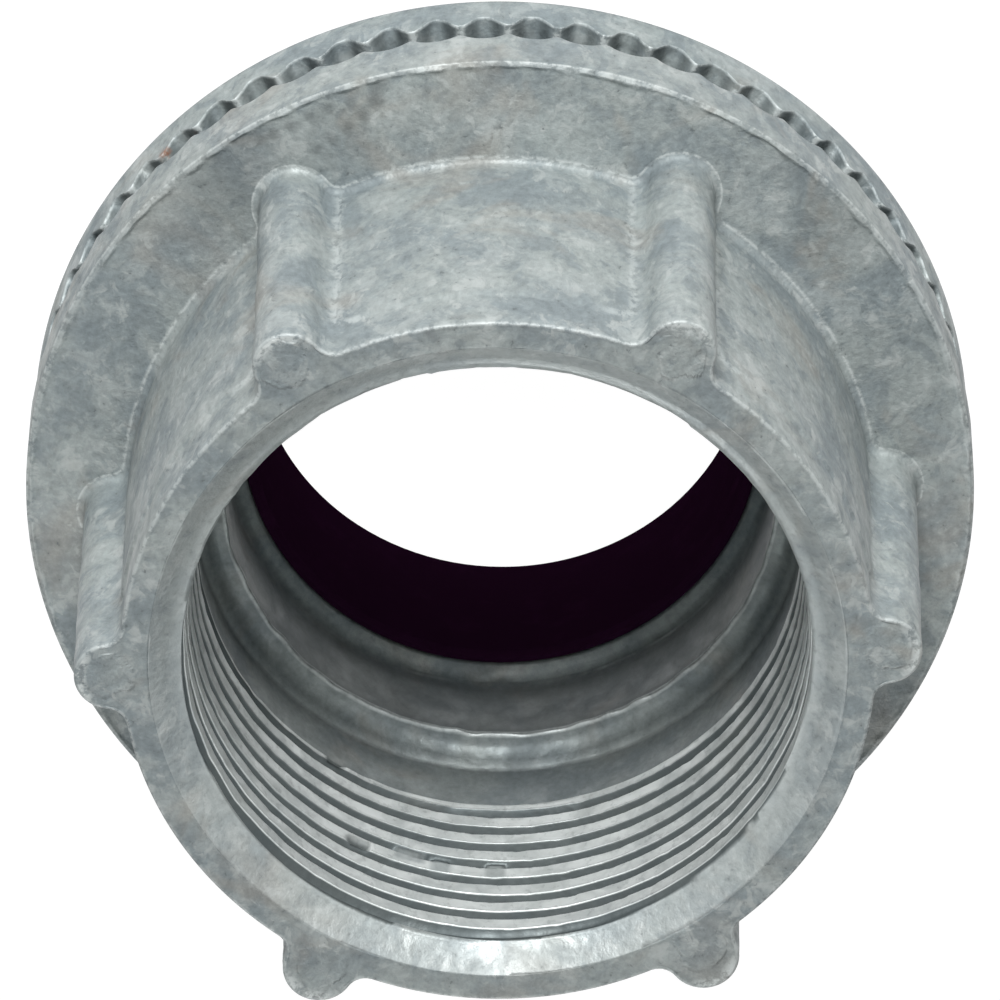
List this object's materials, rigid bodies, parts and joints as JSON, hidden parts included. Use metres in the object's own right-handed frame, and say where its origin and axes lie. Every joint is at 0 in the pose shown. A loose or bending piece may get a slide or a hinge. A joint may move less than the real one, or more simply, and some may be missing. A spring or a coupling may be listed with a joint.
{
  "type": "conduit hub",
  "caption": "Round die-cast hub with a threaded conduit socket, ribbed wall, wide flange and nipple, with sealing ring, toothed locknut and plastic throat liner.",
  "frame": {"origin": "centre of the circle that the nipple's end rests on", "axes": "+Z along the hub's axis, from the nipple's end to the mouth of the conduit socket"},
  "size_m": [0.0602, 0.0602, 0.0475],
  "materials": {
    "cast_zinc": "as-cast zinc alloy, mottled blue-grey, half matt",
    "nut_zinc": "as-cast zinc alloy, grey, half matt",
    "seal_rubber": "matt black rubber",
    "liner_plastic": "moulded plastic, black-purple"
  },
  "bodies": {
    "hub": {"hub_body": "cast_zinc", "sealing_ring": "seal_rubber", "throat_liner": "liner_plastic"},
    "locknut": {"locknut": "nut_zinc"}
  },
  "joints": [
    {"name": "locknut_travel", "type": "slide", "parent": "hub", "child": "locknut", "axis": [0, 0, -1], "range_m": [-0.001, 0.018]}
  ]
}
